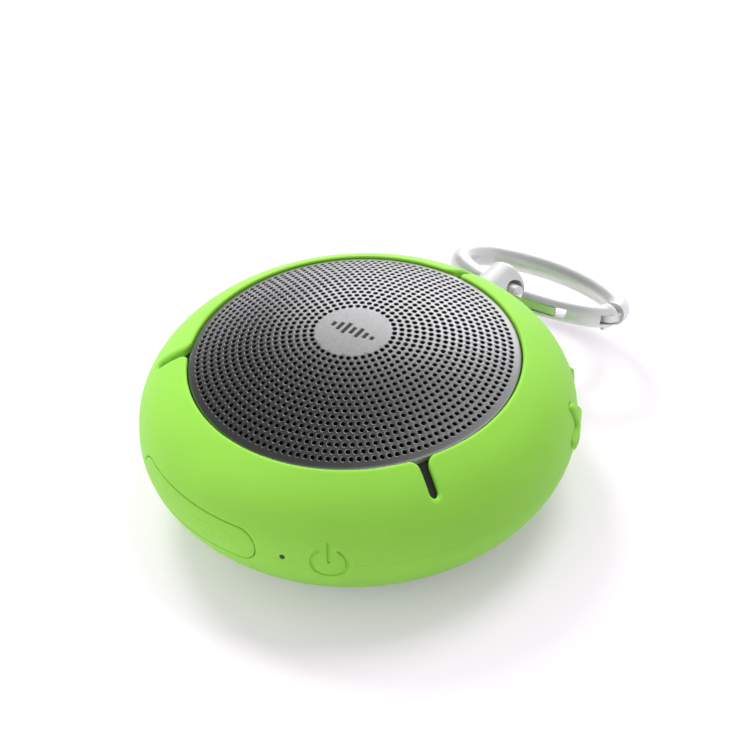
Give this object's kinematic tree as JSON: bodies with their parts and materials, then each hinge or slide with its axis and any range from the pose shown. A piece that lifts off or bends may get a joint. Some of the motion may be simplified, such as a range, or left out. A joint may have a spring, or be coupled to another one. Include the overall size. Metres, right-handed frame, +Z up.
{
  "type": "shower speaker",
  "caption": "Round pocket speaker in a silicone sleeve with a domed perforated grille, side keys, a covered port bay and a snap hook on an eyelet.",
  "frame": {"origin": "centre of the flat foot", "axes": "+Z up, out of the grille; the power key faces near -Y, the snap hook hangs towards +X +Y"},
  "size_m": [0.1094, 0.1101, 0.0417],
  "materials": {
    "sleeve_silicone": "soft matte green silicone, fine texture",
    "grille_steel": "satin metallic grey paint over perforated steel",
    "cloth": "thin black acoustic cloth",
    "housing_plastic": "dark grey moulded plastic",
    "seal_rubber": "plain silicone",
    "screw_steel": "zinc plated steel",
    "basket_steel": "black painted steel",
    "driver_steel": "zinc plated steel",
    "ferrite": "dark sintered ferrite",
    "copper": "enamelled copper winding",
    "cone_paper": "coated black paper",
    "surround_rubber": "soft black rubber",
    "spider_cloth": "resin-set woven cloth",
    "foam": "closed-cell foam",
    "battery_foil": "silver pouch foil",
    "board": "green solder mask over glass-fibre board",
    "chip": "black moulded package",
    "socket_metal": "tinned steel shell",
    "gold": "gold plated contact",
    "clear_plastic": "translucent light pipe",
    "wire_jacket": "soft insulated wire",
    "eyelet_metal": "satin silver anodised",
    "hook_metal": "satin silver anodised, smooth",
    "pin_steel": "bright steel pins and spring"
  },
  "bodies": {
    "case": {"sleeve": "sleeve_silicone", "grille": "grille_steel", "grille_cloth": "cloth", "front_housing": "housing_plastic", "rear_housing": "housing_plastic", "housing_seal": "seal_rubber", "housing_screws": "screw_steel", "driver_basket": "basket_steel", "driver_gasket": "foam", "driver_screws": "screw_steel", "driver_top_plate": "driver_steel", "driver_magnet": "ferrite", "driver_yoke": "driver_steel", "surround": "surround_rubber", "spider": "spider_cloth", "driver_terminals": "gold", "battery": "battery_foil", "battery_pad": "foam", "main_board": "board", "board_screws": "screw_steel", "tact_switches": "chip", "charging_socket": "socket_metal", "audio_jack": "chip", "amplifier_chip": "chip", "radio_module": "socket_metal", "microphone": "gold", "status_led": "clear_plastic", "light_pipe": "clear_plastic", "speaker_wires": "wire_jacket", "battery_wires": "wire_jacket", "eyelet": "eyelet_metal", "eyelet_nut": "screw_steel"},
    "port_flap": {"port_flap": "sleeve_silicone"},
    "power_key": {"power_key": "sleeve_silicone"},
    "volume_up_key": {"volume_up_key": "sleeve_silicone"},
    "play_key": {"play_key": "sleeve_silicone"},
    "volume_down_key": {"volume_down_key": "sleeve_silicone"},
    "driver_cone": {"cone": "cone_paper", "voice_coil": "copper", "dust_cap": "cone_paper"},
    "snap_hook": {"hook_body": "hook_metal"},
    "hook_gate": {"hook_gate": "hook_metal", "gate_hinge_pin": "pin_steel", "latch_pin": "pin_steel", "gate_spring": "pin_steel"}
  },
  "joints": [
    {"name": "power_press", "type": "slide", "parent": "case", "child": "power_key", "axis": [0.1668, 0.986, 0], "range_m": [0, 0.0005], "stiffness_N_per_m": 400},
    {"name": "volume_up_press", "type": "slide", "parent": "case", "child": "volume_up_key", "axis": [-0.9781, 0.2079, 0], "range_m": [0, 0.0005], "stiffness_N_per_m": 400},
    {"name": "play_press", "type": "slide", "parent": "case", "child": "play_key", "axis": [-0.9848, -0.1736, 0], "range_m": [0, 0.0005], "stiffness_N_per_m": 400},
    {"name": "volume_down_press", "type": "slide", "parent": "case", "child": "volume_down_key", "axis": [-0.8572, -0.515, 0], "range_m": [0, 0.0005], "stiffness_N_per_m": 400},
    {"name": "port_flap_hinge", "type": "hinge", "parent": "case", "child": "port_flap", "pos_m": [-0.04539, -0.01218, 0.019], "axis": [0, 0, -1], "range_deg": [0, 100], "stiffness_Nm_per_rad": 0.002},
    {"name": "cone_stroke", "type": "slide", "parent": "case", "child": "driver_cone", "axis": [0, 0, 1], "range_m": [-0.001, 0.001], "stiffness_N_per_m": 1000, "deforming": ["surround", "spider"]},
    {"name": "hook_swing", "type": "hinge", "parent": "case", "child": "snap_hook", "pos_m": [0.03302, 0.03867, 0.0203], "axis": [0.6807, -0.73, 0.061], "range_deg": [-65, 100]},
    {"name": "gate_hinge", "type": "hinge", "parent": "snap_hook", "child": "hook_gate", "pos_m": [0.05647, 0.03064, 0.01679], "axis": [-0.2414, -0.3022, -0.9222], "range_deg": [0, 24], "stiffness_Nm_per_rad": 0.02}
  ]
}
